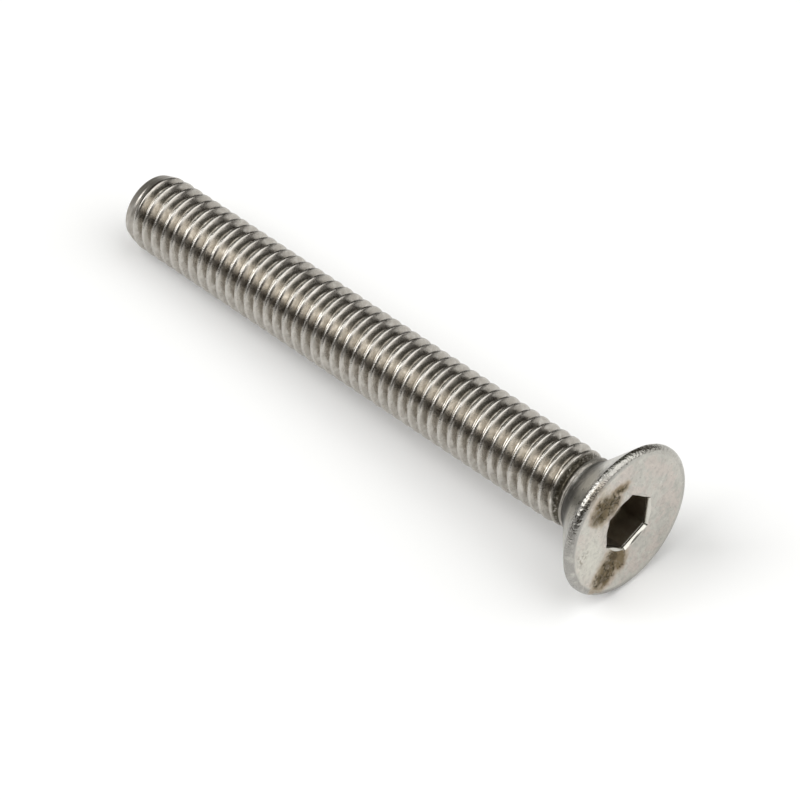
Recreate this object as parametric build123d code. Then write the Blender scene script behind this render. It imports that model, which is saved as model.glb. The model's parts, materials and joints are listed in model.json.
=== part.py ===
"""Countersunk socket screw, M6, about 50 mm long, threaded almost to its head.

The screw is one cold-headed, thread-rolled piece of stainless steel, so it is one solid.
It is turned standing on its point, along +Z: the rounded point, the shank, the neck, the
countersunk cone and the domed shoulder of the head.  The punch then makes the hexagon
socket.  At the end the screw is laid down as it would come to rest, on the rim of its
head and the last crest of its thread, with the head towards +X and the origin on the
surface, under the middle of the screw.

The shank is as wide as the thread's crests.  The grooves between them are left plain.
"""

import os
from math import atan, degrees, radians, tan

from build123d import *

# ---------------------------------------------------------------- driving dimensions, mm
screw_length = 49.5  # over everything, from the point to the flat of the head

# Shank: over the crests of the thread
thread_diameter = 6.0

# Point: a chamfer round its flat end, then a taper over which the crests grow
point_chamfer_width = 0.52
point_chamfer_height = 0.33
point_taper_width = 0.38
point_taper_height = 1.18
point_taper_rounding = 1.9  # where the taper runs into the full crests

# Neck: the thread ends a little below the head, and its crests fade
neck_step = 0.175  # how far the neck lies below the crests
neck_length = 0.95  # the plain part between the thread and the cone
neck_fillet = 0.35
crest_fade_length = 1.2

# Head
head_diameter = 11.9
cone_angle = 90.0  # between the two sides of the countersunk cone
rim_land = 0.10  # the short straight edge of the rim
rim_rounding = 0.10
face_diameter = 10.5  # the flat on top, inside the domed shoulder
shoulder_height = 0.48  # from the rim up to the flat

# Socket
socket_across_flats = 4.04  # for a 4 mm hexagon key
socket_depth = 2.5  # of the full hexagon, below the flat of the head
socket_point_angle = 140.0  # of the shallow cone at its bottom
socket_mouth_diameter = 4.5  # the conical mouth bites into the middle of the six sides
socket_mouth_angle = 90.0
socket_corner_angle = 50.0  # where one corner points, turned about the axis from straight down

# ------------------------------------------------------------------- worked-out values
crest_radius = thread_diameter / 2
taper_radius = crest_radius - point_taper_width
point_radius = taper_radius - point_chamfer_width
neck_radius = crest_radius - neck_step
head_radius = head_diameter / 2
face_radius = face_diameter / 2

taper_end_z = point_chamfer_height + point_taper_height
taper_angle = atan(point_taper_width / point_taper_height)
full_crest_z = taper_end_z + point_taper_rounding * tan(taper_angle / 2)

rim_z = screw_length - shoulder_height
cone_top_z = rim_z - rim_land
neck_top_z = cone_top_z - (head_radius - neck_radius) / tan(radians(cone_angle / 2))
thread_end_z = neck_top_z - neck_length
crest_end_z = thread_end_z - crest_fade_length


def turned_body():
    """Everything that is round about the axis, from the point to the flat of the head.

    The section is drawn to the side, so that the seam of the turned faces lies clear of the
    line on which the screw rests.
    """
    with BuildSketch(Plane.YZ) as section:
        with BuildLine():
            Polyline((0, screw_length), (0, 0), (point_radius, 0))
            FilletPolyline(
                (point_radius, 0),
                (taper_radius, point_chamfer_height),
                (crest_radius, taper_end_z),
                (crest_radius, crest_end_z),
                (neck_radius, thread_end_z),
                (neck_radius, neck_top_z),
                (head_radius, cone_top_z),
                (head_radius, rim_z),
                radius=(0, point_taper_rounding, 0, 0, neck_fillet, rim_rounding),
            )
            TangentArc((face_radius, screw_length), (head_radius, rim_z), tangent=(1, 0))
            Line((face_radius, screw_length), (0, screw_length))
        make_face()
    return revolve(section.sketch, Axis.Z)


def socket():
    """What the punch takes out: a hexagon, the cone at its bottom and the conical mouth."""
    half_flats = socket_across_flats / 2
    mouth_radius = socket_mouth_diameter / 2
    point_height = half_flats / tan(radians(socket_point_angle / 2))
    mouth_height = mouth_radius / tan(radians(socket_mouth_angle / 2))
    bottom_z = screw_length - socket_depth
    with BuildPart() as punch:
        with BuildSketch(Plane.XY.offset(bottom_z)):
            RegularPolygon(half_flats, 6, major_radius=False, rotation=socket_corner_angle)
        extrude(amount=socket_depth)
        with Locations((0, 0, bottom_z)):
            Cone(0, half_flats, point_height, align=(Align.CENTER, Align.CENTER, Align.MAX))
        with Locations((0, 0, screw_length)):
            Cone(0, mouth_radius, mouth_height, align=(Align.CENTER, Align.CENTER, Align.MAX))
    return punch.part


def laid_down(screw):
    """The screw lying on the rim of its head and the first full crest near its point."""
    lean = degrees(atan((head_radius - crest_radius) / (cone_top_z - full_crest_z)))
    lying = Rot(Y=90 - lean) * screw
    box = lying.bounding_box()
    return Pos(X=-box.center().X, Z=-box.min.Z) * lying


screw = laid_down(turned_body() - socket())

os.makedirs("parts", exist_ok=True)
export_step(screw, "parts/screw.step")
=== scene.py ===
"""The looks of a countersunk socket screw, M6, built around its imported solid.

The screw is one closed mesh, modelled in millimetres in its own frame: z runs along the axis
from the point to the flat of the head, and x points down when the screw lies at rest.  Its
thread is a strip of rows that follow the helix, and its head is a stack of rings.
"""

import json
from math import ceil, cos, pi, radians, sin, sqrt, tan

import bpy
import numpy as np
from mathutils import Matrix, Vector


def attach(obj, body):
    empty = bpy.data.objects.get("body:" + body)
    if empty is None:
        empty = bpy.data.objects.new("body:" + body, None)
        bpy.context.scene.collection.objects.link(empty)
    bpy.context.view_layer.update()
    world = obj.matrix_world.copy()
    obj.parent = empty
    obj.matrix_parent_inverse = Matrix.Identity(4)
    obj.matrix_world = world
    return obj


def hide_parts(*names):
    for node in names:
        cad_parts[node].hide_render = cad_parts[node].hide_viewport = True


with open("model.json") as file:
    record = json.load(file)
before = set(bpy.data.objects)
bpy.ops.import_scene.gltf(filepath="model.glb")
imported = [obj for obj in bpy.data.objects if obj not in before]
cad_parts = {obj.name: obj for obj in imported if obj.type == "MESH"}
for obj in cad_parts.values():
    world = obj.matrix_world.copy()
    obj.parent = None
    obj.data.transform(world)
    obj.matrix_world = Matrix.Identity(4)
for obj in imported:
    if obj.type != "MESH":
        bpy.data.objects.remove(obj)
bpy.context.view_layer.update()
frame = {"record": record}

MM = 0.001

# ------------------------------------------------------------- the screw's sizes, mm
LENGTH = 49.5
PITCH = 1.0
THREAD_DEPTH = 0.61
CREST_RADIUS = 3.0
FLANK_SLOPE = tan(radians(60))  # radius lost for each mm along the axis, on the flanks
HALF_CREST = 0.071  # half the width of a crest, before its corners are rounded
CREST_ROUNDING = 0.135
ROOT_ROUNDING = 0.144
SEAM_DEPTH = 0.035  # rolling leaves a fine seam between the two lips of a crest
SEAM_HALF_WIDTH = 0.022
CREST_HEIGHT = 0.838  # of a crest over the point, on the side that faces the floor
ROLLED_ROUGHNESS = 0.0022  # how uneven the rolled surface is
RUN_OUT_ROUGHNESS = 0.016  # and how much more so where the thread runs out
ROLLED_NOISE = (3, 14, 0.6, 2.4)  # seed, count of waves, fewest and most waves to the mm
ROLLED_NOISE_ALONG = 1.6  # and how many times more there are along the axis

POINT_RADIUS = 2.1
TAPER_RADIUS = 2.62
CHAMFER_HEIGHT = 0.33
CHAMFER_ROUNDING = 0.06
TAPER_END = 1.51
TAPER_ROUNDING = 0.19
ENVELOPE_ROUNDING = 0.05  # where the taper cuts the crests off
END_RINGS = ((0.93, 0.0), (0.8, 0.01), (0.5, 0.04), (0.2, 0.06))  # share of radius, dish
END_DISH = 0.065

FIRST_GROOVE = (0.5, 1.75)  # where the first groove starts out of the plain taper
GROOVE_FADE = (44.4, 45.75)  # where the grooves grow shallow, and end
CREST_FADE = (43.5, 45.0)
LAST_CREST = 2.86
ROUGH_START = (44.3, 44.7)
ROUGH_END = 45.4
NECK_RADIUS = 2.77
NECK_START = 45.46
NECK_RING = 45.56  # where the helical rows end and the head's rings begin
NECK_RING_GAP = 0.03
NECK_TOP = 45.795
NECK_FILLET = 0.45
CONE_HALF_ANGLE = 45  # degrees
RIM_BOTTOM = 48.92
RIM_TOP = 48.99
RIM_RADIUS = 5.95
RIM_ROUNDING = 0.10
SHOULDER_NORMALS = (0.0, 13.0, 36.0, 52.0, 90.0)  # degrees over the radius, rim to flat
PEBBLE_HEIGHT = 0.007
PEBBLE_RADII = (5.4, 5.9)  # where the pebbles of the rim start, and are full
PEBBLE_NOISE = (11, 18, 0.7, 2.2)
WAVE_HEIGHT = 0.006
WAVE_RADII = (2.9, 3.6)  # where the waves of the whole head start, and are full
WAVE_NOISE = (12, 6, 0.05, 0.2)

SOCKET_HALF_FLATS = 2.0
SOCKET_DEPTH = 2.5
SOCKET_POINT_DEPTH = 0.73
SOCKET_CORNER = radians(50)
SOCKET_FOOT = ((1.0, 0.06), (0.985, 0.02), (0.96, 0.0))  # share of the wall's radius, over its end
SOCKET_FLOOR_SHARE = 0.93
MOUTH_RADIUS = 2.26
MOUTH_SLOPE = 1.9  # radius lost for each mm of depth, in the shallow cone of the mouth
BEVEL_WIDTH = 0.12  # the rounded edge of five of the six sides
DRAWN_SIDE = radians(20)  # the punch left a crisp edge on this side
DRAWN_REACH = (radians(40), radians(25))  # from its middle: where that edge ends, and is full
CRISP_DEPTH = 0.22
CRISP_WIDTH = 0.095
LEDGE_DEPTH = 0.36  # where the rounded edges end, and on the drawn side a fine step
LEDGE_WIDTH = 0.014
LEDGE_HEIGHT = 0.04

# Where each vertex's marks for the materials fade, mm: heights, and distances from a crest.
END_FACE_FADE = (0.02, 0.3)
GROOVE_SIDES = (0.08, 0.2)
CAKED_START = (44.1, 44.5)
CAKED_END = (45.3, 45.5)

# ------------------------------------------------------------------ how fine the mesh is
SHANK_COLUMNS = 72
HEAD_COLUMNS = 144
# The rows from a crest to the next groove's middle, in shares of the pitch.
HALF_PITCH_ROWS = (0.020, 0.042, 0.064, 0.088, 0.118, 0.185, 0.27, 0.355, 0.405, 0.452)
ROW_MARGIN = 0.012  # from a helical row to the plain ring that ends the rows
FILLET_ROWS = 6
CONE_ROWS = 22
RIM_ROWS = 4
SHOULDER_ROWS = 28
FLAT_ROWS = 26
EDGE_ROWS = 20
EDGE_ROW = 0.0125  # from one of those rows to the next, mm
LEDGE_ROWS = (0.28, 0.318, 0.33, 0.345, 0.36, 0.375, 0.42)  # depths in the socket, mm
WALL_ROWS = (0.6, 0.9, 1.3, 1.7, 2.1)
FLOOR_ROWS = 9


# ------------------------------------------------------------------------ small helpers
def smooth_min(a, b, width):
    """The lesser of a and b, with their corner rounded over about that width."""
    h = np.clip(0.5 + 0.5 * (b - a) / width, 0, 1)
    return b * (1 - h) + a * h - width * h * (1 - h)


def smooth_step(low, high, x):
    """0 up to low and 1 from high on, with a smooth rise between them."""
    t = np.clip((x - low) / (high - low), 0, 1)
    return t * t * (3 - 2 * t)


def ripples(seed, count, low, high, *coordinates):
    """Smooth seeded noise between about -1 and 1, at coordinates in mm.

    It is the sum of count waves of random directions, each with low to high periods to the mm.
    """
    random = np.random.default_rng(seed)
    total = 0
    for _ in range(count):
        frequency = random.uniform(low, high)
        direction = random.normal(size=len(coordinates))
        direction /= np.linalg.norm(direction)
        phase = sum(d * c for d, c in zip(direction, coordinates))
        total = total + np.sin(2 * pi * frequency * phase + random.uniform(0, 2 * pi))
    return total / sqrt(count) * 0.7


def add_object(name, data):
    """A new object in the scene, with that mesh, lamp or camera."""
    piece = bpy.data.objects.new(name, data)
    bpy.context.scene.collection.objects.link(piece)
    return piece


# --------------------------------------------------------------------------- the thread
def point_envelope(z):
    """How wide the chamfer and the taper of the point let the thread be."""
    chamfer = POINT_RADIUS + (TAPER_RADIUS - POINT_RADIUS) * z / CHAMFER_HEIGHT
    slope = (CREST_RADIUS - TAPER_RADIUS) / (TAPER_END - CHAMFER_HEIGHT)
    taper = TAPER_RADIUS + slope * (z - CHAMFER_HEIGHT)
    rounded = smooth_min(taper, CREST_RADIUS, TAPER_ROUNDING)
    return smooth_min(chamfer, rounded, CHAMFER_ROUNDING)


def full_thread(offset):
    """The radius at a distance along the axis, in mm, from the middle of a crest."""
    distance = np.abs(offset)
    flank = CREST_RADIUS + FLANK_SLOPE * (HALF_CREST - distance)
    crest = CREST_RADIUS - SEAM_DEPTH * np.exp(-((distance / SEAM_HALF_WIDTH) ** 2))
    outer = smooth_min(flank, crest, CREST_ROUNDING)
    centre = CREST_RADIUS + FLANK_SLOPE * (HALF_CREST - PITCH / 2) + 2 * ROOT_ROUNDING
    half_root = ROOT_ROUNDING * cos(radians(30))
    across = np.clip(PITCH / 2 - distance, 0, half_root)
    root = centre - np.sqrt(ROOT_ROUNDING ** 2 - across ** 2)
    return np.where(PITCH / 2 - distance < half_root, root, outer)


def shank_radius(angle, z, offset):
    """The rolled thread, its first turns on the taper and its run-out into the neck."""
    depth = (CREST_RADIUS - full_thread(offset)) * (1 - smooth_step(*GROOVE_FADE, z))
    depth = depth * smooth_step(*FIRST_GROOVE, z)
    crest = CREST_RADIUS + (LAST_CREST - CREST_RADIUS) * smooth_step(*CREST_FADE, z)
    crest = crest + (NECK_RADIUS - LAST_CREST) * smooth_step(NECK_START, NECK_RING, z)
    in_run_out = smooth_step(*ROUGH_START, z) * (1 - smooth_step(ROUGH_END, NECK_RING, z))
    height = ROLLED_ROUGHNESS + RUN_OUT_ROUGHNESS * in_run_out
    x, y = CREST_RADIUS * np.cos(angle), CREST_RADIUS * np.sin(angle)
    radius = crest - depth + height * ripples(*ROLLED_NOISE, x, y, ROLLED_NOISE_ALONG * z)
    return smooth_min(radius, point_envelope(z), ENVELOPE_ROUNDING)


def thread_rows():
    """Offsets from the crest of one pitch's rows, in mm, from one crest to the next."""
    rising = [PITCH * row for row in HALF_PITCH_ROWS]
    falling = [PITCH * (1 - row) for row in reversed(HALF_PITCH_ROWS)]
    return np.array([0.0] + rising + [PITCH / 2] + falling)


def add_shank(vertices, faces):
    """The shank from the end face's edge up to a plain ring on the neck. Returns both rings."""
    offsets = thread_rows()
    rows_per_turn = len(offsets)
    start = CREST_HEIGHT - 2 * PITCH
    turns = ceil((NECK_RING - start) / PITCH)
    row_z = (start + PITCH * np.arange(turns)[:, None] + offsets).ravel()
    row_offset = np.tile(np.where(offsets > PITCH / 2, offsets - PITCH, offsets), turns)
    index = {}
    bottom, top = [], []
    for column in range(SHANK_COLUMNS):
        share = column / SHANK_COLUMNS
        angle = 2 * pi * share
        z = row_z + PITCH * share
        inside = np.nonzero((z > ROW_MARGIN) & (z < NECK_RING - ROW_MARGIN))[0]
        radius = shank_radius(angle, z[inside], row_offset[inside])
        bottom.append(len(vertices))
        vertices.append((POINT_RADIUS * cos(angle), POINT_RADIUS * sin(angle), 0.0))
        for row, r, height in zip(inside, radius, z[inside]):
            index[column, row] = len(vertices)
            vertices.append((r * cos(angle), r * sin(angle), height))
        top.append(len(vertices))
        vertices.append((NECK_RADIUS * cos(angle), NECK_RADIUS * sin(angle), NECK_RING))

    def corner(column, row):
        """The vertex there, or the end ring's where the row has run past that ring."""
        if column == SHANK_COLUMNS:
            column, row = 0, row + rows_per_turn
        if (column, row) in index:
            return index[column, row]
        high_up = row >= len(row_z) or row_z[row] + PITCH * column / SHANK_COLUMNS > PITCH
        return top[column] if high_up else bottom[column]

    for column in range(SHANK_COLUMNS):
        for row in range(len(row_z) - 1):
            face = [corner(column, row), corner(column + 1, row)]
            face += [corner(column + 1, row + 1), corner(column, row + 1)]
            face = list(dict.fromkeys(face))
            if len(face) > 2:
                faces.append(face)
    return bottom, top


# ------------------------------------------------------------------- rings and the head
def add_ring(vertices, radii, height):
    """One level ring of vertices, one for each radius. Returns their numbers."""
    first = len(vertices)
    count = len(radii)
    for column in range(count):
        angle = 2 * pi * column / count
        vertices.append((radii[column] * cos(angle), radii[column] * sin(angle), height))
    return list(range(first, first + count))


def join_rings(faces, below, above):
    """Quads between two rings of equally many vertices."""
    count = len(below)
    for i in range(count):
        j = (i + 1) % count
        faces.append([below[i], below[j], above[j], above[i]])


def stack_rings(vertices, faces, ring, levels):
    """Adds a ring for each (radii, height), joined to the one before. Returns the last."""
    for radii, height in levels:
        upper = add_ring(vertices, radii, height)
        join_rings(faces, ring, upper)
        ring = upper
    return ring


def double_ring(faces, coarse, fine):
    """Triangles from a ring to one of twice as many vertices."""
    count = len(coarse)
    for i in range(count):
        j = (i + 1) % count
        a, b, c = fine[2 * i], fine[2 * i + 1], fine[(2 * i + 2) % len(fine)]
        faces += [[coarse[i], b, a], [coarse[i], coarse[j], b], [coarse[j], c, b]]


def arc(centre, radius, start, end, count):
    """Points (r, z) on an arc, with its angles in degrees, without the first."""
    steps = [start + (end - start) * (i + 1) / count for i in range(count)]
    return [(centre[0] + radius * cos(radians(a)), centre[1] + radius * sin(radians(a)))
            for a in steps]


def head_outline():
    """(r, z) of the rings from the neck to the edge of the flat."""
    slant = radians(CONE_HALF_ANGLE)
    fillet_start = NECK_TOP - NECK_FILLET * tan(slant / 2)
    fillet_centre = (NECK_RADIUS + NECK_FILLET, fillet_start)
    fillet = arc(fillet_centre, NECK_FILLET, 180, 180 - CONE_HALF_ANGLE, FILLET_ROWS)
    trim = RIM_ROUNDING * tan(slant / 2)
    rim_centre = (RIM_RADIUS - RIM_ROUNDING, RIM_BOTTOM + trim)
    rim = arc(rim_centre, RIM_ROUNDING, -CONE_HALF_ANGLE, 0, RIM_ROWS)
    cone_end = (RIM_RADIUS - trim * sin(slant), RIM_BOTTOM - trim * cos(slant))
    cone = [tuple(a + (b - a) * (i + 1) / CONE_ROWS for a, b in zip(fillet[-1], cone_end))
            for i in range(CONE_ROWS)]
    neck = [(NECK_RADIUS, fillet_start)]
    return neck + fillet + cone + rim + [(RIM_RADIUS, RIM_TOP)] + shoulder_outline()


def shoulder_outline():
    """From the rim to the flat, along normals that turn through the named angles."""
    places = (np.arange(SHOULDER_ROWS) + 0.5) / SHOULDER_ROWS
    known = np.linspace(0, 1, len(SHOULDER_NORMALS))
    turns = np.radians(np.interp(places, known, SHOULDER_NORMALS))
    step = (LENGTH - RIM_TOP) / np.cos(turns).sum()
    radii = RIM_RADIUS - step * np.cumsum(np.sin(turns))
    heights = RIM_TOP + step * np.cumsum(np.cos(turns))
    return [(float(r), float(z)) for r, z in zip(radii, heights)]


def head_relief(r, z, angle):
    """Small unevenness of the headed surfaces, in mm, added to their radius."""
    x, y = r * np.cos(angle), r * np.sin(angle)
    pebbles = smooth_step(*PEBBLE_RADII, r) * ripples(*PEBBLE_NOISE, x, y, z)
    waves = smooth_step(*WAVE_RADII, r) * ripples(*WAVE_NOISE, x, y, z)
    return PEBBLE_HEIGHT * pebbles + WAVE_HEIGHT * waves


def side_angle(angle):
    """The angle from the middle of the nearest of the socket's six sides."""
    turned = angle - SOCKET_CORNER
    return (turned % (pi / 3)) - pi / 6


def drawn_share(angle):
    """1 on the one side where the punch left a crisp edge, and 0 on the others."""
    end, full = DRAWN_REACH
    return smooth_step(cos(end), cos(full), np.cos(angle - DRAWN_SIDE))


def socket_radius(angle, depth):
    """The socket's wall: a hexagon with a drawn edge, opened by the conical mouth."""
    share = drawn_share(angle)
    crisp = CRISP_WIDTH * max(1 - depth / CRISP_DEPTH, 0)
    crisp += LEDGE_WIDTH * min(max((LEDGE_DEPTH - depth) / LEDGE_HEIGHT, 0), 1)
    rounded = BEVEL_WIDTH * max(1 - depth / LEDGE_DEPTH, 0) ** 2
    edge = share * crisp + (1 - share) * rounded
    wall = (SOCKET_HALF_FLATS + edge) / np.cos(side_angle(angle))
    mouth = MOUTH_RADIUS - MOUTH_SLOPE * depth
    return np.maximum(wall, mouth)


def socket_levels(angle):
    """(radii, height) of the rings from the socket's edge down to its bottom."""
    depths = [EDGE_ROW * (i + 1) for i in range(EDGE_ROWS)]
    depths += [*LEDGE_ROWS, *WALL_ROWS]
    levels = [(socket_radius(angle, depth), LENGTH - depth) for depth in depths]
    for share, over_end in SOCKET_FOOT:
        depth = SOCKET_DEPTH - over_end
        levels.append((share * socket_radius(angle, SOCKET_DEPTH), LENGTH - depth))
    for i in range(FLOOR_ROWS):
        radius = SOCKET_FLOOR_SHARE * SOCKET_HALF_FLATS * (1 - i / FLOOR_ROWS)
        depth = SOCKET_DEPTH + SOCKET_POINT_DEPTH * i / FLOOR_ROWS
        levels.append((np.full(len(angle), radius), LENGTH - depth))
    return levels


def add_head(vertices, faces, neck_ring):
    """All from the neck's ring to the socket's bottom. Returns the socket's first face."""
    angle = 2 * pi * np.arange(HEAD_COLUMNS) / HEAD_COLUMNS
    ring = add_ring(vertices, np.full(HEAD_COLUMNS, NECK_RADIUS), NECK_RING + NECK_RING_GAP)
    double_ring(faces, neck_ring, ring)
    outline = head_outline()
    levels = [(r + head_relief(r, z, angle), z) for r, z in outline]
    flat_radius = outline[-1][0]
    mouth = socket_radius(angle, 0.0)
    for row in range(1, FLAT_ROWS + 1):
        levels.append((flat_radius + (mouth - flat_radius) * row / FLAT_ROWS, LENGTH))
    ring = stack_rings(vertices, faces, ring, levels)
    socket_first = len(faces)
    ring = stack_rings(vertices, faces, ring, socket_levels(angle))
    tip = len(vertices)
    vertices.append((0, 0, LENGTH - SOCKET_DEPTH - SOCKET_POINT_DEPTH))
    for i in range(HEAD_COLUMNS):
        faces.append([ring[i], ring[(i + 1) % HEAD_COLUMNS], tip])
    return socket_first


def add_end(vertices, faces, ring):
    """The slightly dished end face of the point."""
    for share, dish in END_RINGS:
        inner = add_ring(vertices, np.full(SHANK_COLUMNS, POINT_RADIUS * share), dish)
        join_rings(faces, inner, ring)
        ring = inner
    centre = len(vertices)
    vertices.append((0, 0, END_DISH))
    for i in range(SHANK_COLUMNS):
        faces.append([ring[(i + 1) % SHANK_COLUMNS], ring[i], centre])


# ---------------------------------------------------------------------------- materials
STEEL_LEVEL = 0.565
STEEL = tuple(STEEL_LEVEL * c for c in (1, 0.955, 0.885))
CLOUDED_STEEL = tuple(0.9 * c for c in STEEL)
HEAD_STEEL = (0.592, 0.577, 0.526)
CLOUDED_HEAD_STEEL = tuple(0.84 * c for c in HEAD_STEEL)
WARM_STEEL = (0.582, 0.531, 0.485)
# The colour of the painted sheen on the flat.
PAINTED_SHEEN = (0.64, 0.625, 0.56)
# Grime, which down in the thread also serves as painted shade; the flat's specks and nicks take it
# too.
GRIME_AND_SHADE = (0.16, 0.132, 0.092)
CAKED_GRIME = (0.085, 0.075, 0.055)
# Dull steel: the crests, the neck, the flat's mottling and its scuffs take it, and the rim takes
# it partly as painted shade.
DULL_AND_SHADED_STEEL = (0.335, 0.325, 0.305)
# Soil, and painted shade, on the neck under the head.
NECK_SOIL_AND_SHADE = (0.105, 0.1, 0.092)
STAIN_FILM = (0.2, 0.15, 0.08)
STAIN_HALO = (0.38, 0.27, 0.15)
STAIN_CORE = (0.05, 0.038, 0.018)
DEEP_SOCKET_TONE = (0.22, 0.18, 0.14)
PALER_SOCKET_TONE = (0.27, 0.245, 0.19)
FLANK_ROUGHNESS = 0.26
NECK_ROUGHER = 0.2
TAPER_ROUGHER = 0.22
# How much grime and painted shade the flanks and the roots take.
FLANK_GRIME_AND_SHADE = 0.32
ROOT_GRIME_AND_SHADE = 0.35
CREST_DULLNESS = 0.25
CREST_MARKS = 132  # fine marks of the rolling dies across the crest, in one turn
CREST_MARKS_SLANT = 3.5  # turns of the marks' phase for each mm along the axis
HEAD_ROUGHNESS = 0.33
SOCKET_ROUGHNESS = 0.45
EDGE_SMOOTHER = 0.2
DEEP_TONE_DEPTHS = (0.44, 0.34)  # in the socket, where its darker tone thins out, and ends
NECK_DULLNESS = 0.85
CAST_DULLNESS = 0.3
SCUFF_DULLNESS = 0.5
FILM_STRENGTH = 0.92
HALO_STRENGTH = 0.4
CORE_STRENGTH = 0.95
CLOT_STRENGTH = 0.65
SPECK_STRENGTH = 0.55
NICK_STRENGTH = 0.6

# The heights of what is only bump, mm.
MARK_HEIGHT = 0.006
ROLLED_GRAIN_HEIGHT = 0.008
ROUGH_HEIGHT = 0.09
PEBBLE_BUMP_HEIGHT = 0.10
HEAD_GRAIN_HEIGHT = 0.02
SCUFF_HEIGHT = -0.004

# Where the finishes start, and are full: heights along the axis, or radii, in mm.
MATT_NECK = (44.3, 45.2)
MATT_TAPER = (1.5, 0.9)
ROUGH_NECK = (45.1, 45.3)
ROUGH_NECK_END = (45.9, 45.6)
DULL_NECK = (47.6, 45.9)
UNDER_HEAD = (49.0, 48.5)
UNDER_HEAD_RADII = (4.6, 3.4)
RIM = (48.2, 48.9)
RIM_RADII = (5.3, 5.55)
OVER_SHOULDER = (49.1, 49.3)
FLAT = (49.40, 49.49)
FLAT_RADII = (5.5, 5.2)

# Each spot, seen along the axis: its middle, x and y, its reach along both, in mm, its strength.
UPPER_STAIN = (
    (-2.95, -2.55, 1.8, 1.6, 1.0),
    (-3.0, -1.5, 1.6, 1.2, 0.85),
    (-3.7, -0.75, 0.8, 1.3, 0.75),
)
LOWER_STAIN = (
    (2.2, -1.4, 1.5, 1.7, 1.0),
    (2.9, -2.0, 1.8, 1.8, 1.0),
    (3.0, -1.2, 1.4, 1.3, 1.0),
    (3.5, -2.7, 1.5, 1.6, 1.0),
    (3.85, -3.4, 0.8, 0.9, 0.75),
)
STAIN_CLOTS = (
    (-3.4, -2.3, 1.1, 1.0, 1.0),
    (-2.6, -2.95, 1.0, 1.0, 1.0),
    (-2.2, -1.7, 1.6, 0.6, 0.8),
    (2.75, -2.1, 1.3, 0.8, 1.0),
    (3.5, -2.7, 0.8, 1.2, 1.0),
    (2.1, -1.6, 0.9, 0.9, 1.0),
)
STAIN_EDGING = ((-4.3, -2.9, 2.6, 1.7, 1.0),)
# Where the painted sheen lies on the flat.
PAINTED_SHEEN_PATCH = ((0.7, -3.9, 3.6, 2.0, 1.0),)
NICKED_PATCH = ((0.1, -4.7, 1.1, 0.9, 1.0),)
# A darker spot of soil and painted shade on the neck.
NECK_SOIL_AND_SHADE_SPOT = ((-1.2, -2.9, 3.2, 2.6, 0.8),)
SPOT_MIDDLE = 0.15  # the share of a spot's reach within which it is strongest
SCUFFS = ((25, 2.0), (80, 1.6), (150, 2.4))  # degrees, and how fine
SCUFF_STRETCH = (0.22, 9, 1)  # the noise's scale along a scuff, across it and upright
SCUFF_COVER = (0.66, 0.74)  # the noise's values from which there is one, and it is full


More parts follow.
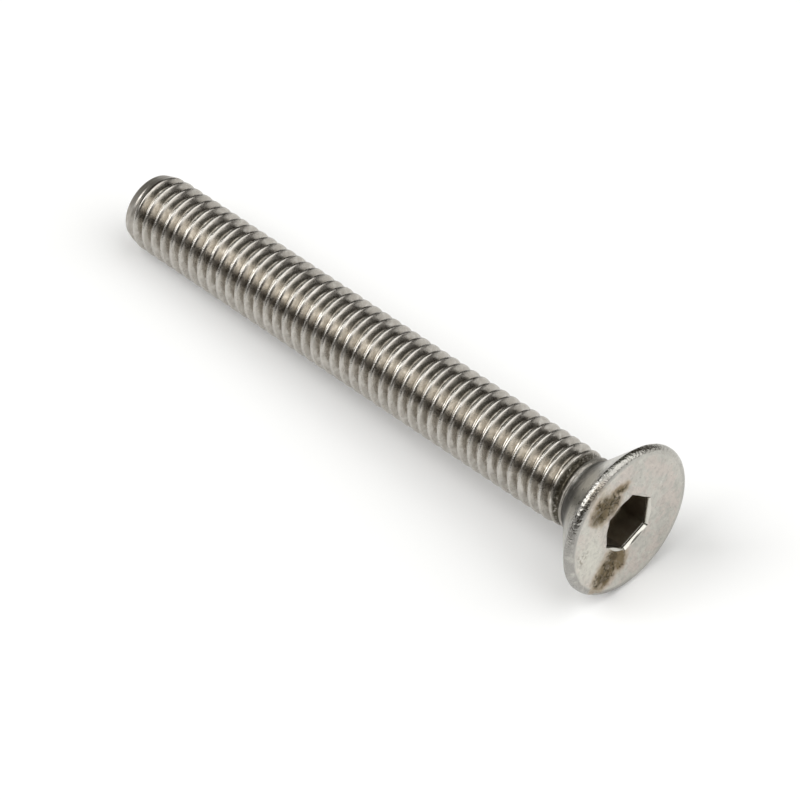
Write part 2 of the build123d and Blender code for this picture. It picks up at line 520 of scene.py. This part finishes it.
class Finish:
    """A material with its nodes: most methods add one node and return its output."""

    def __init__(self, name):
        self.material = bpy.data.materials.new(name)
        self.material.use_nodes = True
        self.tree = self.material.node_tree
        self.shader = self.tree.nodes["Principled BSDF"]
        self.shader.inputs["Metallic"].default_value = 1
        self.place = self.attribute("own_place").outputs["Vector"]

    def attribute(self, name):
        """The node of one of the mesh's own attributes."""
        node = self.tree.nodes.new("ShaderNodeAttribute")
        node.attribute_name = name
        return node

    def feed(self, socket, value):
        """Gives a socket another node's output, a colour or a number."""
        if isinstance(value, bpy.types.NodeSocket):
            self.tree.links.new(value, socket)
        elif isinstance(value, tuple) and len(socket.default_value) == 4:
            socket.default_value = (*value, 1)
        else:
            socket.default_value = value

    def math(self, operation, a, b=0.0, clamp=False):
        """One operation on two numbers."""
        node = self.tree.nodes.new("ShaderNodeMath")
        node.operation = operation
        node.use_clamp = clamp
        self.feed(node.inputs[0], a)
        self.feed(node.inputs[1], b)
        return node.outputs[0]

    def plus(self, a, b):
        """a + b."""
        return self.math("ADD", a, b)

    def less(self, a, b):
        """a - b."""
        return self.math("SUBTRACT", a, b)

    def times(self, *factors):
        """The product of all of them."""
        product = factors[0]
        for factor in factors[1:]:
            product = self.math("MULTIPLY", product, factor)
        return product

    def most(self, *values):
        """The greatest of all of them."""
        top = values[0]
        for value in values[1:]:
            top = self.math("MAXIMUM", top, value)
        return top

    def parts(self, vector):
        """The vector's x, y and z."""
        node = self.tree.nodes.new("ShaderNodeSeparateXYZ")
        self.feed(node.inputs[0], vector)
        return node.outputs

    def moved(self, vector, scale=(1, 1, 1), shift=(0, 0, 0), turn=0.0):
        """The vector scaled, turned about z by degrees, and shifted."""
        node = self.tree.nodes.new("ShaderNodeMapping")
        self.feed(node.inputs["Vector"], vector)
        node.inputs["Scale"].default_value = scale
        node.inputs["Rotation"].default_value = (0, 0, radians(turn))
        node.inputs["Location"].default_value = shift
        return node.outputs[0]

    def noise_node(self, vector, scale, detail=2.0, roughness=0.5, distortion=0.0):
        """The node of a noise texture, scale to the mm."""
        node = self.tree.nodes.new("ShaderNodeTexNoise")
        self.feed(node.inputs["Vector"], vector)
        node.inputs["Scale"].default_value = scale
        node.inputs["Detail"].default_value = detail
        node.inputs["Roughness"].default_value = roughness
        node.inputs["Distortion"].default_value = distortion
        return node

    def noise(self, vector, scale, **settings):
        """A noise texture's value, about 0.5 on average."""
        return self.noise_node(vector, scale, **settings).outputs["Fac"]

    def step(self, value, low, high, to_low=0.0, to_high=1.0):
        """A smooth rise from to_low, at low, to to_high, at high; low may be the greater."""
        node = self.tree.nodes.new("ShaderNodeMapRange")
        node.interpolation_type = "SMOOTHSTEP"
        self.feed(node.inputs["Value"], value)
        self.feed(node.inputs["From Min"], low)
        self.feed(node.inputs["From Max"], high)
        self.feed(node.inputs["To Min"], to_low)
        self.feed(node.inputs["To Max"], to_high)
        return node.outputs["Result"]

    def mix(self, share, a, b):
        """Colour a, with a share of colour b."""
        node = self.tree.nodes.new("ShaderNodeMix")
        node.data_type = "RGBA"
        self.feed(node.inputs[0], share)
        self.feed(node.inputs[6], a)
        self.feed(node.inputs[7], b)
        return node.outputs[2]

    def bump(self, height, distance, strength=1.0, normal=None):
        """A normal for that height, over another; distance is in mm."""
        node = self.tree.nodes.new("ShaderNodeBump")
        node.inputs["Distance"].default_value = distance * MM
        self.feed(node.inputs["Strength"], strength)
        self.feed(node.inputs["Height"], height)
        if normal:
            self.feed(node.inputs["Normal"], normal)
        return node.outputs[0]

    def warped(self, size, scale):
        """The place, pushed about by noise, so that smudges get ragged edges."""
        push = self.noise_node(self.place, scale, detail=4).outputs["Color"]
        away = self.tree.nodes.new("ShaderNodeVectorMath")
        away.operation = "MULTIPLY_ADD"
        self.feed(away.inputs[0], push)
        away.inputs[1].default_value = (size, size, 0)
        self.feed(away.inputs[2], self.place)
        shifted = self.tree.nodes.new("ShaderNodeVectorMath")
        shifted.operation = "SUBTRACT"
        self.feed(shifted.inputs[0], away.outputs[0])
        shifted.inputs[1].default_value = (size / 2, size / 2, 0)
        return shifted.outputs[0]

    def spots(self, places, warp):
        """Irregular smudges, each with its strength in its middle, and 0 outside them all."""
        smudges = []
        for x, y, reach_x, reach_y, strength in places:
            shift = (-x / reach_x, -y / reach_y, 0)
            place = self.moved(warp, (1 / reach_x, 1 / reach_y, 0), shift)
            length = self.tree.nodes.new("ShaderNodeVectorMath")
            length.operation = "LENGTH"
            self.feed(length.inputs[0], place)
            far_out = length.outputs["Value"]
            smudges.append(self.step(far_out, 1.0, SPOT_MIDDLE, to_high=strength))
        return self.most(*smudges)

    def scratches(self, degrees, fineness):
        """Fine straight scuffs across the flat, along one direction, 0 to 1."""
        along, across, upright = SCUFF_STRETCH
        stretch = (along * fineness, across * fineness, upright)
        turned = self.moved(self.place, turn=degrees)
        stretched = self.moved(turned, stretch, shift=(degrees, 0, 0))
        return self.step(self.noise(stretched, 1.0), *SCUFF_COVER)

    def finish(self, colour, roughness, normal=None):
        """Gives the shader its colour, roughness and normal, and returns the material."""
        self.feed(self.shader.inputs["Base Color"], colour)
        self.feed(self.shader.inputs["Roughness"], roughness)
        if normal:
            self.feed(self.shader.inputs["Normal"], normal)
        return self.material


def rolled_steel():
    """The shank: polished crests, satin flanks, and brown grime with painted shade down in the
    thread.
    """
    f = Finish("rolled_steel")
    x, y, z = f.parts(f.place)
    depth = f.attribute("thread_depth").outputs["Fac"]
    run_out = f.attribute("run_out").outputs["Fac"]
    cloud = f.noise(f.place, 0.9, detail=4, roughness=0.6)
    fine = f.noise(f.moved(f.place, (2.0, 2.0, 3.5)), 1.0)
    coarse = f.noise(f.place, 4.5, detail=3, roughness=0.7)
    crest = f.step(depth, 0.12, 0.02)

    shade = f.mix(f.step(cloud, 0.35, 0.7), STEEL, CLOUDED_STEEL)
    shade = f.mix(f.times(crest, CREST_DULLNESS), shade, DULL_AND_SHADED_STEEL)
    # Painted shade: the flanks, and the roots more darkly, take grime that is partly real and
    # partly stands in for the shade in the grooves.
    on_flanks = f.times(f.step(depth, 0.03, 0.25), FLANK_GRIME_AND_SHADE)
    in_roots = f.times(f.step(depth, 0.4, 1.0), ROOT_GRIME_AND_SHADE)
    grime_and_shade = f.times(f.plus(on_flanks, in_roots), f.step(fine, 0.2, 0.55))
    caked = f.times(run_out, f.step(coarse, 0.68, 0.5))
    colour = f.mix(caked, f.mix(grime_and_shade, shade, GRIME_AND_SHADE), CAKED_GRIME)

    turn = f.math("ARCTAN2", y, x)
    slant = f.plus(f.times(turn, CREST_MARKS), f.times(z, 2 * pi * CREST_MARKS_SLANT))
    hatching = f.plus(f.times(f.math("SINE", slant), 0.5), f.noise(f.place, 5.0))
    worn = f.step(f.noise(f.place, 1.5, detail=3, roughness=0.6), 0.35, 0.6, to_low=0.3)
    grain = f.noise(f.moved(f.place, (0.7, 0.7, 8.0)), 1.0)
    rough = f.most(run_out, f.step(z, *ROUGH_NECK))
    normal = f.bump(hatching, MARK_HEIGHT, f.times(crest, worn, 0.9))
    normal = f.bump(grain, ROLLED_GRAIN_HEIGHT, 0.5, normal)
    normal = f.bump(coarse, ROUGH_HEIGHT, rough, normal)

    uneven = f.times(f.less(fine, 0.5), 0.25)
    on_neck = f.times(f.step(z, *MATT_NECK), NECK_ROUGHER)
    on_taper = f.times(f.step(z, *MATT_TAPER), TAPER_ROUGHER)
    roughness = f.plus(f.plus(FLANK_ROUGHNESS, uneven), f.plus(on_neck, on_taper))
    return f.finish(colour, roughness, normal)


def head_shade(f, on_flat):
    """The head's clean steel, with the flat's warm patches and a painted sheen, a lighter patch in
    place of a soft reflection.
    """
    cloud = f.noise(f.place, 0.45, detail=4, roughness=0.6)
    moved = f.moved(f.place, (0.5, 0.5, 0.5), shift=(7, 3, 0))
    warm = f.noise(moved, 1.5, detail=4, roughness=0.65, distortion=0.4)
    sheen_patch = f.spots(PAINTED_SHEEN_PATCH, f.warped(1.2, 0.7))
    shade = f.mix(f.step(cloud, 0.35, 0.65), HEAD_STEEL, CLOUDED_HEAD_STEEL)
    shade = f.mix(f.times(f.step(warm, 0.44, 0.58), on_flat), shade, WARM_STEEL)
    # Painted reflection: a lighter patch on the flat that stands in for a soft reflection.
    return f.mix(f.times(sheen_patch, on_flat), shade, PAINTED_SHEEN)


def stained(f, shade, on_flat, mottle, ragged):
    """That shade under the flat's two brown stains, and how much of them lies there."""
    smudge = f.most(f.spots(UPPER_STAIN, ragged), f.spots(LOWER_STAIN, ragged))
    shifted = f.moved(f.place, shift=(3, 9, 0))
    uneven = f.times(smudge, f.noise(shifted, 1.2, detail=3, roughness=0.6, distortion=0.4))
    edging = f.times(f.spots(STAIN_EDGING, ragged), f.step(mottle, 0.25, 0.5), 0.75)
    faint = f.most(f.step(uneven, 0.0, 0.12), edging)
    over_shoulder = f.step(f.parts(f.place)["Z"], *OVER_SHOULDER)
    shade = f.mix(f.times(faint, over_shoulder, HALO_STRENGTH), shade, STAIN_HALO)

    islands = f.noise(f.moved(f.place, shift=(5, 2, 0)), 1.7, detail=3, roughness=0.6)
    worn_off = f.less(1.0, f.times(f.step(islands, 0.5, 0.64), 0.5))
    film = f.times(f.step(uneven, 0.04, 0.4), on_flat, worn_off)
    colour = f.mix(f.times(film, FILM_STRENGTH), shade, STAIN_FILM)

    swirls = f.noise(f.place, 0.75, detail=3, roughness=0.55, distortion=0.6)
    veins = f.step(f.math("ABSOLUTE", f.less(swirls, 0.5)), 0.045, 0.005)
    clots = f.times(f.spots(STAIN_CLOTS, ragged), CLOT_STRENGTH)
    dark = f.most(f.times(veins, f.step(smudge, 0.25, 0.6)), clots)
    core = f.times(dark, f.step(mottle, 0.3, 0.5), on_flat, CORE_STRENGTH)
    return f.mix(core, colour, STAIN_CORE), film


def headed_steel():
    """The neck, cone, pebbled rim and satin flat, with the brown stains of the flat, and painted
    shade on the neck and on one side of the rim.
    """
    f = Finish("headed_steel")
    x, y, z = f.parts(f.place)
    radius = f.math("POWER", f.plus(f.times(x, x), f.times(y, y)), 0.5)
    on_rim = f.times(f.step(radius, *RIM_RADII), f.step(z, *RIM))
    on_flat = f.times(f.step(z, *FLAT), f.step(radius, *FLAT_RADII))
    on_neck = f.step(z, *DULL_NECK)
    under_head = f.times(f.step(radius, *UNDER_HEAD_RADII), f.step(z, *UNDER_HEAD))
    mottle = f.noise(f.place, 2.2, detail=4, roughness=0.65)
    ragged = f.warped(0.8, 1.6)

    # Painted shade: the rim is dulled, more so toward negative y. This is partly a less polished
    # finish and partly shade painted on that side.
    left = f.step(y, 1.5, -2.5, to_low=0.35)
    rim_dull_and_shade = f.times(on_rim, f.step(mottle, 0.1, 0.55), left)
    dull_and_shade = f.most(rim_dull_and_shade, f.times(on_neck, NECK_DULLNESS))
    shade = f.mix(dull_and_shade, head_shade(f, on_flat), DULL_AND_SHADED_STEEL)
    # Painted shade: the neck and cone under the head are darkened, partly for soil and partly for
    # the shade that falls there.
    mottled = f.times(f.step(mottle, 0.3, 0.6), 0.6)
    soil_and_shade = f.math("ADD", mottled, f.spots(NECK_SOIL_AND_SHADE_SPOT, ragged), clamp=True)
    shade = f.mix(f.times(soil_and_shade, under_head), shade, NECK_SOIL_AND_SHADE)
    cast = f.step(f.noise(f.place, 2.2, detail=4, roughness=0.75), 0.46, 0.62)
    shade = f.mix(f.times(cast, on_flat, CAST_DULLNESS), shade, DULL_AND_SHADED_STEEL)
    colour, film = stained(f, shade, on_flat, mottle, ragged)

    specks = f.times(f.step(f.noise(f.place, 5.2), 0.69, 0.75), on_flat, SPECK_STRENGTH)
    pits = f.step(f.noise(f.place, 4.5, detail=3, roughness=0.6), 0.5, 0.58)
    nicks = f.times(pits, f.spots(NICKED_PATCH, ragged), on_flat)
    colour = f.mix(f.most(specks, f.times(nicks, NICK_STRENGTH)), colour, GRIME_AND_SHADE)
    scuffs = f.most(*[f.scratches(degrees, fineness) for degrees, fineness in SCUFFS])
    colour = f.mix(f.times(scuffs, on_flat, SCUFF_DULLNESS), colour, DULL_AND_SHADED_STEEL)

    pebbles = f.noise(f.place, 5.5)
    grain = f.noise(f.place, 6.0, detail=4, roughness=0.65)
    rolled = f.noise(f.place, 4.5, detail=3, roughness=0.7)
    normal = f.bump(pebbles, PEBBLE_BUMP_HEIGHT, f.times(on_rim, 0.6))
    grainy = f.less(0.5, f.times(on_flat, 0.35))
    normal = f.bump(grain, HEAD_GRAIN_HEIGHT, grainy, normal)
    normal = f.bump(rolled, ROUGH_HEIGHT, f.step(z, *ROUGH_NECK_END), normal)
    normal = f.bump(f.most(scuffs, nicks), SCUFF_HEIGHT, on_flat, normal)

    satin = f.plus(HEAD_ROUGHNESS, f.times(f.less(mottle, 0.5), 0.45))
    satin = f.less(satin, f.times(on_rim, 0.07))
    matt = f.times(f.most(film, f.times(on_neck, 0.8)), 0.25)
    return f.finish(colour, f.plus(satin, matt), normal)


def socket_steel():
    """The socket's walls, darker below the drawn edge."""
    f = Finish("socket_steel")
    z = f.parts(f.place)["Z"]
    thinning, clean = DEEP_TONE_DEPTHS
    edge = f.step(z, LENGTH - thinning, LENGTH - clean)
    cloud = f.noise(f.place, 1.3, detail=3, roughness=0.6)
    deep_tone = f.mix(f.step(cloud, 0.35, 0.65), DEEP_SOCKET_TONE, PALER_SOCKET_TONE)
    colour = f.mix(edge, deep_tone, HEAD_STEEL)
    return f.finish(colour, f.less(SOCKET_ROUGHNESS, f.times(edge, EDGE_SMOOTHER)))


# ------------------------------------------------------------------------------- pieces
def resting_place():
    """The matrix from the screw's own frame, in metres, to the row frame."""
    mounts = {m["name"]: m for m in frame["record"]["mounts"]}
    drive = mounts["hexagon_socket"]
    along = Vector(drive["axis"]).normalized()
    across = Vector((0, 1, 0))
    down = across.cross(along)
    origin = Vector(drive["pos_m"]) - along * LENGTH * MM
    matrix = Matrix((down, across, along)).transposed().to_4x4()
    matrix.translation = origin
    return matrix


def mark_places(mesh, vertices):
    """Keeps, for the materials, each vertex's own place, depth in the thread and run-out."""
    own = np.array(vertices)
    x, y, z = own.T
    places = mesh.attributes.new("own_place", "FLOAT_VECTOR", "POINT")
    places.data.foreach_set("vector", own.ravel())

    depth = (CREST_RADIUS - np.hypot(x, y)) / THREAD_DEPTH * smooth_step(*END_FACE_FADE, z)
    depths = mesh.attributes.new("thread_depth", "FLOAT", "POINT")
    depths.data.foreach_set("value", np.clip(depth, 0, 1))

    along = z - CREST_HEIGHT - np.arctan2(y, x) * PITCH / (2 * pi)
    in_groove = smooth_step(*GROOVE_SIDES, np.abs(along - np.round(along)))
    last_turn = smooth_step(*CAKED_START, z) * (1 - smooth_step(*CAKED_END, z))
    run_out = mesh.attributes.new("run_out", "FLOAT", "POINT")
    run_out.data.foreach_set("value", in_groove * last_turn)


def make_screw():
    """The whole screw: one closed mesh with its three finishes."""
    vertices, faces = [], []
    bottom, top = add_shank(vertices, faces)
    add_end(vertices, faces, bottom)
    head_first = len(faces)
    socket_first = add_head(vertices, faces, top)
    place = resting_place()
    mesh = bpy.data.meshes.new("rolled_screw")
    mesh.from_pydata([place @ Vector([MM * c for c in v]) for v in vertices], [], faces)
    mark_places(mesh, vertices)
    for material in (rolled_steel(), headed_steel(), socket_steel()):
        mesh.materials.append(material)
    for polygon in mesh.polygons:
        polygon.use_smooth = True
        if polygon.index >= socket_first:
            polygon.material_index = 2
        elif polygon.index >= head_first:
            polygon.material_index = 1
    screw = add_object("rolled_screw", mesh)
    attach(screw, "root")
    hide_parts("screw")


# -------------------------------------------------------------------- floor, light, view
CAMERA_AZIMUTH = radians(45.449)
CAMERA_ELEVATION = radians(45.823)
CAMERA_PLACE = Vector((200.729, -195.747, 288.749)) * MM
CAMERA_LENS = 249.39
CAMERA_SENSOR = 36  # mm, as is the lens

# The floor, room and soft boxes: lengths in metres, angles in degrees.
FLOOR_REACH = 3.0
FLOOR_COLOUR = (0.9, 0.9, 0.9)
FLOOR_GLOW = 0.08
ROOM_REACH = 2.6
ROOM_BOTTOM = -0.01
ROOM_HEIGHT = 2.4
WALL_COLOUR = (1.0, 0.72, 0.42)
WALL_LEVEL = 0.03
CEILING_COLOUR = (0.95, 1.0, 0.8)
CEILING_LEVEL = 0.1
LIGHT_DISTANCE = 0.9
LEFT_AZIMUTH = -117
LEFT_ELEVATION = 54
LEFT_WIDTH = 0.66
LEFT_HEIGHT = 0.7
LEFT_LEVEL = 4.2
TOP_AZIMUTH = 28
TOP_ELEVATION = 52.8
TOP_WIDTH = 1.05
TOP_HEIGHT = 1.34
TOP_LEVEL = 1.75


def make_camera():
    """The camera, which looks down on the screw from its head's side."""
    data = bpy.data.cameras.new("camera")
    data.lens = CAMERA_LENS
    data.sensor_width = CAMERA_SENSOR
    camera = add_object("camera", data)
    camera.location = CAMERA_PLACE
    camera.rotation_euler = (pi / 2 - CAMERA_ELEVATION, 0, CAMERA_AZIMUTH)
    bpy.context.scene.camera = camera


def empty_material(name):
    """A new material with nothing but its output node, and that node."""
    material = bpy.data.materials.new(name)
    material.use_nodes = True
    material.node_tree.nodes.clear()
    output = material.node_tree.nodes.new("ShaderNodeOutputMaterial")
    return material, output


def square(reach, height):
    """The corners of a level square round the origin."""
    return [(x * reach, y * reach, height) for x, y in ((-1, -1), (1, -1), (1, 1), (-1, 1))]


def floor_paint():
    """White, with a faint glow where the camera, or a polished or clear surface, sees it."""
    material, output = empty_material("floor")
    nodes, links = material.node_tree.nodes, material.node_tree.links

    def math(operation, a, b):
        """One operation on a node's output and another output, or a number."""
        node = nodes.new("ShaderNodeMath")
        node.operation = operation
        links.new(a, node.inputs[0])
        if isinstance(b, float):
            node.inputs[1].default_value = b
        else:
            links.new(b, node.inputs[1])
        return node.outputs[0]

    path = nodes.new("ShaderNodeLightPath").outputs
    polished = math("MAXIMUM", path["Is Glossy Ray"], path["Is Transmission Ray"])
    seen = math("MAXIMUM", path["Is Camera Ray"], polished)
    glow = nodes.new("ShaderNodeEmission")
    links.new(math("MULTIPLY", seen, FLOOR_GLOW), glow.inputs["Strength"])
    diffuse = nodes.new("ShaderNodeBsdfDiffuse")
    diffuse.inputs["Color"].default_value = (*FLOOR_COLOUR, 1)
    add = nodes.new("ShaderNodeAddShader")
    links.new(diffuse.outputs[0], add.inputs[0])
    links.new(glow.outputs[0], add.inputs[1])
    links.new(add.outputs[0], output.inputs["Surface"])
    return material


def make_floor():
    """The white floor."""
    mesh = bpy.data.meshes.new("floor")
    mesh.from_pydata(square(FLOOR_REACH, 0), [], [(0, 1, 2, 3)])
    mesh.materials.append(floor_paint())
    floor = add_object("floor", mesh)


def make_light(name, azimuth, elevation, width, height, radiance):
    """A soft box that faces the screw, turned about the upright from +X, in degrees."""
    data = bpy.data.lights.new(name, "AREA")
    data.shape = "RECTANGLE"
    data.size = width
    data.size_y = height
    data.energy = radiance * pi * width * height
    light = add_object(name, data)
    a, e = radians(azimuth), radians(elevation)
    towards = Vector((cos(a) * cos(e), sin(a) * cos(e), sin(e)))
    light.location = towards * LIGHT_DISTANCE
    light.rotation_euler = towards.to_track_quat("Z", "Y").to_euler()


def make_world():
    """White, where the camera looks past the floor."""
    world = bpy.data.worlds.new("studio")
    world.use_nodes = True
    background = world.node_tree.nodes["Background"]
    background.inputs["Color"].default_value = (1, 1, 1, 1)
    background.inputs["Strength"].default_value = 1.0
    bpy.context.scene.world = world


def dim_surface(name, colour, level):
    """A surface that only glows, at that level of that colour, and reflects nothing."""
    material, output = empty_material(name)
    glow = material.node_tree.nodes.new("ShaderNodeEmission")
    glow.inputs["Color"].default_value = (*colour, 1)
    glow.inputs["Strength"].default_value = level
    material.node_tree.links.new(glow.outputs[0], output.inputs["Surface"])
    return material


def make_room():
    """The studio's dark walls and ceiling, which give steel its dark reflections."""
    corners = square(ROOM_REACH, ROOM_BOTTOM) + square(ROOM_REACH, ROOM_HEIGHT)
    walls = [(0, 4, 5, 1), (1, 5, 6, 2), (2, 6, 7, 3), (3, 7, 4, 0)]
    ceiling = (4, 7, 6, 5)
    mesh = bpy.data.meshes.new("dark_room")
    mesh.from_pydata(corners, [], walls + [ceiling])
    mesh.materials.append(dim_surface("dark_walls", WALL_COLOUR, WALL_LEVEL))
    mesh.materials.append(dim_surface("dark_ceiling", CEILING_COLOUR, CEILING_LEVEL))
    mesh.polygons[-1].material_index = 1
    room = add_object("dark_room", mesh)
    room.visible_camera = False


make_camera()
make_floor()
make_world()
make_room()
make_light("left_soft_box", LEFT_AZIMUTH, LEFT_ELEVATION, LEFT_WIDTH, LEFT_HEIGHT, LEFT_LEVEL)
make_light("top_soft_box", TOP_AZIMUTH, TOP_ELEVATION, TOP_WIDTH, TOP_HEIGHT, TOP_LEVEL)
make_screw()
bpy.context.scene.view_settings.view_transform = "Standard"
